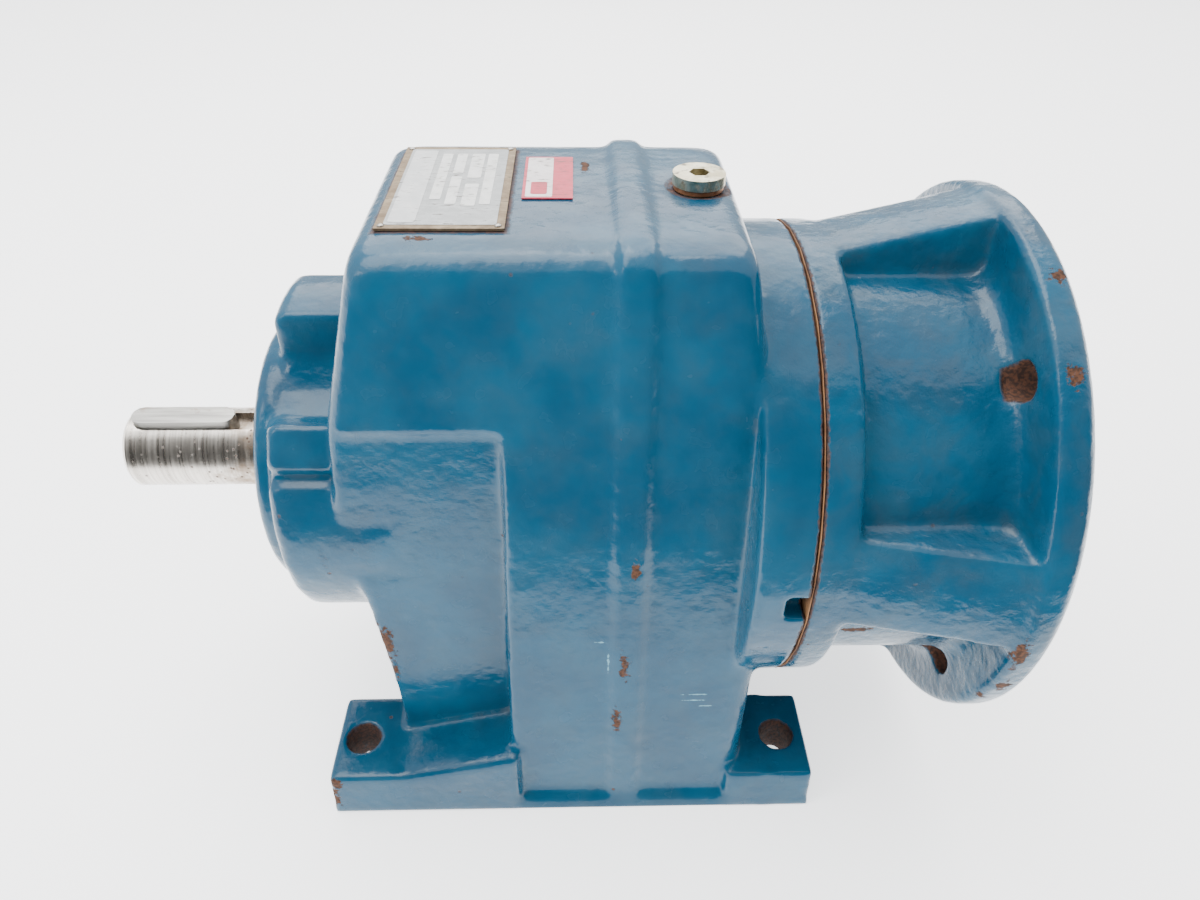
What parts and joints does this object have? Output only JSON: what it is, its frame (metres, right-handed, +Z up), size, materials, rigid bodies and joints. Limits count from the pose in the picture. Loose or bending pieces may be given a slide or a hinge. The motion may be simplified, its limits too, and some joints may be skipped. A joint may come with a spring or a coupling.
{
  "type": "inline gear reducer",
  "caption": "Foot-mounted inline helical gear reducer: cast case, keyed output shaft at one end, flanged bell for a motor at the other, geared shafts and coupling inside.",
  "frame": {"origin": "on the floor that the feet stand on, under the middle of the unit's length and width; the shaft axis is 115 mm above it", "axes": "+X along the shaft axis from the output shaft towards the motor flange, +Z up, and -Y is the side with the notch in the case joint"},
  "size_m": [0.3174, 0.1996, 0.2224],
  "materials": {
    "case_paint": "gloss paint over casting",
    "adaptor_paint": "gloss paint over casting",
    "cover_paint": "gloss paint",
    "gasket_fibre": "pressed fibre, matt",
    "screw_black": "black oxide",
    "plug_zinc": "zinc plated, dull",
    "copper_washer": "plain copper",
    "nameplate_metal": "printed plate",
    "label_film": "printed film",
    "shaft_steel": "ground",
    "key_steel": "ground",
    "gear_steel": "oiled",
    "spacer_steel": "turned",
    "bearing_steel": "polished",
    "seal_rubber": "matt",
    "circlip_steel": "phosphated",
    "hub_steel": "turned",
    "spider_elastomer": "matt"
  },
  "bodies": {
    "housing": {"gear_case": "case_paint", "motor_adaptor": "adaptor_paint", "joint_gasket": "gasket_fibre", "base_cover": "cover_paint", "base_gasket": "gasket_fibre", "nameplate": "nameplate_metal", "lubricant_label": "label_film", "output_oil_seal": "seal_rubber", "input_oil_seal": "seal_rubber", "adaptor_screw_1": "screw_black", "base_cover_screw_1": "screw_black", "adaptor_screw_2": "screw_black", "base_cover_screw_2": "screw_black", "adaptor_screw_3": "screw_black", "base_cover_screw_3": "screw_black", "adaptor_screw_4": "screw_black", "base_cover_screw_4": "screw_black", "filler_plug": "plug_zinc", "filler_plug_washer": "copper_washer", "level_plug": "plug_zinc", "level_plug_washer": "copper_washer", "drain_plug": "plug_zinc", "drain_plug_washer": "copper_washer", "output_front_bearing_outer_ring": "bearing_steel", "output_rear_bearing_outer_ring": "bearing_steel", "layshaft_front_bearing_outer_ring": "bearing_steel", "layshaft_rear_bearing_outer_ring": "bearing_steel", "input_inner_bearing_outer_ring": "bearing_steel", "input_outer_bearing_outer_ring": "bearing_steel"},
    "output": {"output_shaft": "shaft_steel", "output_key": "key_steel", "output_gear": "gear_steel", "output_gear_key": "key_steel", "output_gear_spacer": "spacer_steel", "output_rear_spacer": "spacer_steel", "output_front_bearing_inner_ring_and_balls": "bearing_steel", "output_rear_bearing_inner_ring_and_balls": "bearing_steel"},
    "layshaft": {"layshaft_pinion": "shaft_steel", "layshaft_gear": "gear_steel", "layshaft_gear_key": "key_steel", "layshaft_spacer": "spacer_steel", "layshaft_circlip": "circlip_steel", "layshaft_front_bearing_inner_ring_and_balls": "bearing_steel", "layshaft_rear_bearing_inner_ring_and_balls": "bearing_steel"},
    "input": {"input_shaft": "shaft_steel", "input_inner_bearing_inner_ring_and_balls": "bearing_steel", "input_outer_bearing_inner_ring_and_balls": "bearing_steel", "gearbox_coupling_hub": "hub_steel", "motor_coupling_hub": "hub_steel", "coupling_spider": "spider_elastomer", "gearbox_hub_set_screw": "screw_black", "motor_hub_set_screw": "screw_black"}
  },
  "joints": [
    {"name": "output_turn", "type": "hinge", "parent": "housing", "child": "output", "pos_m": [0, 0, 0.115], "axis": [1, 0, 0], "continuous": true},
    {"name": "layshaft_turn", "type": "hinge", "parent": "housing", "child": "layshaft", "pos_m": [0, 0, 0.061], "axis": [1, 0, 0], "continuous": true},
    {"name": "input_turn", "type": "hinge", "parent": "housing", "child": "input", "pos_m": [0, 0, 0.115], "axis": [1, 0, 0], "continuous": true}
  ],
  "couplings": [
    {"joint": "layshaft_turn", "follows": "output_turn", "ratio": -3.1538},
    {"joint": "input_turn", "follows": "output_turn", "ratio": 10.204}
  ]
}
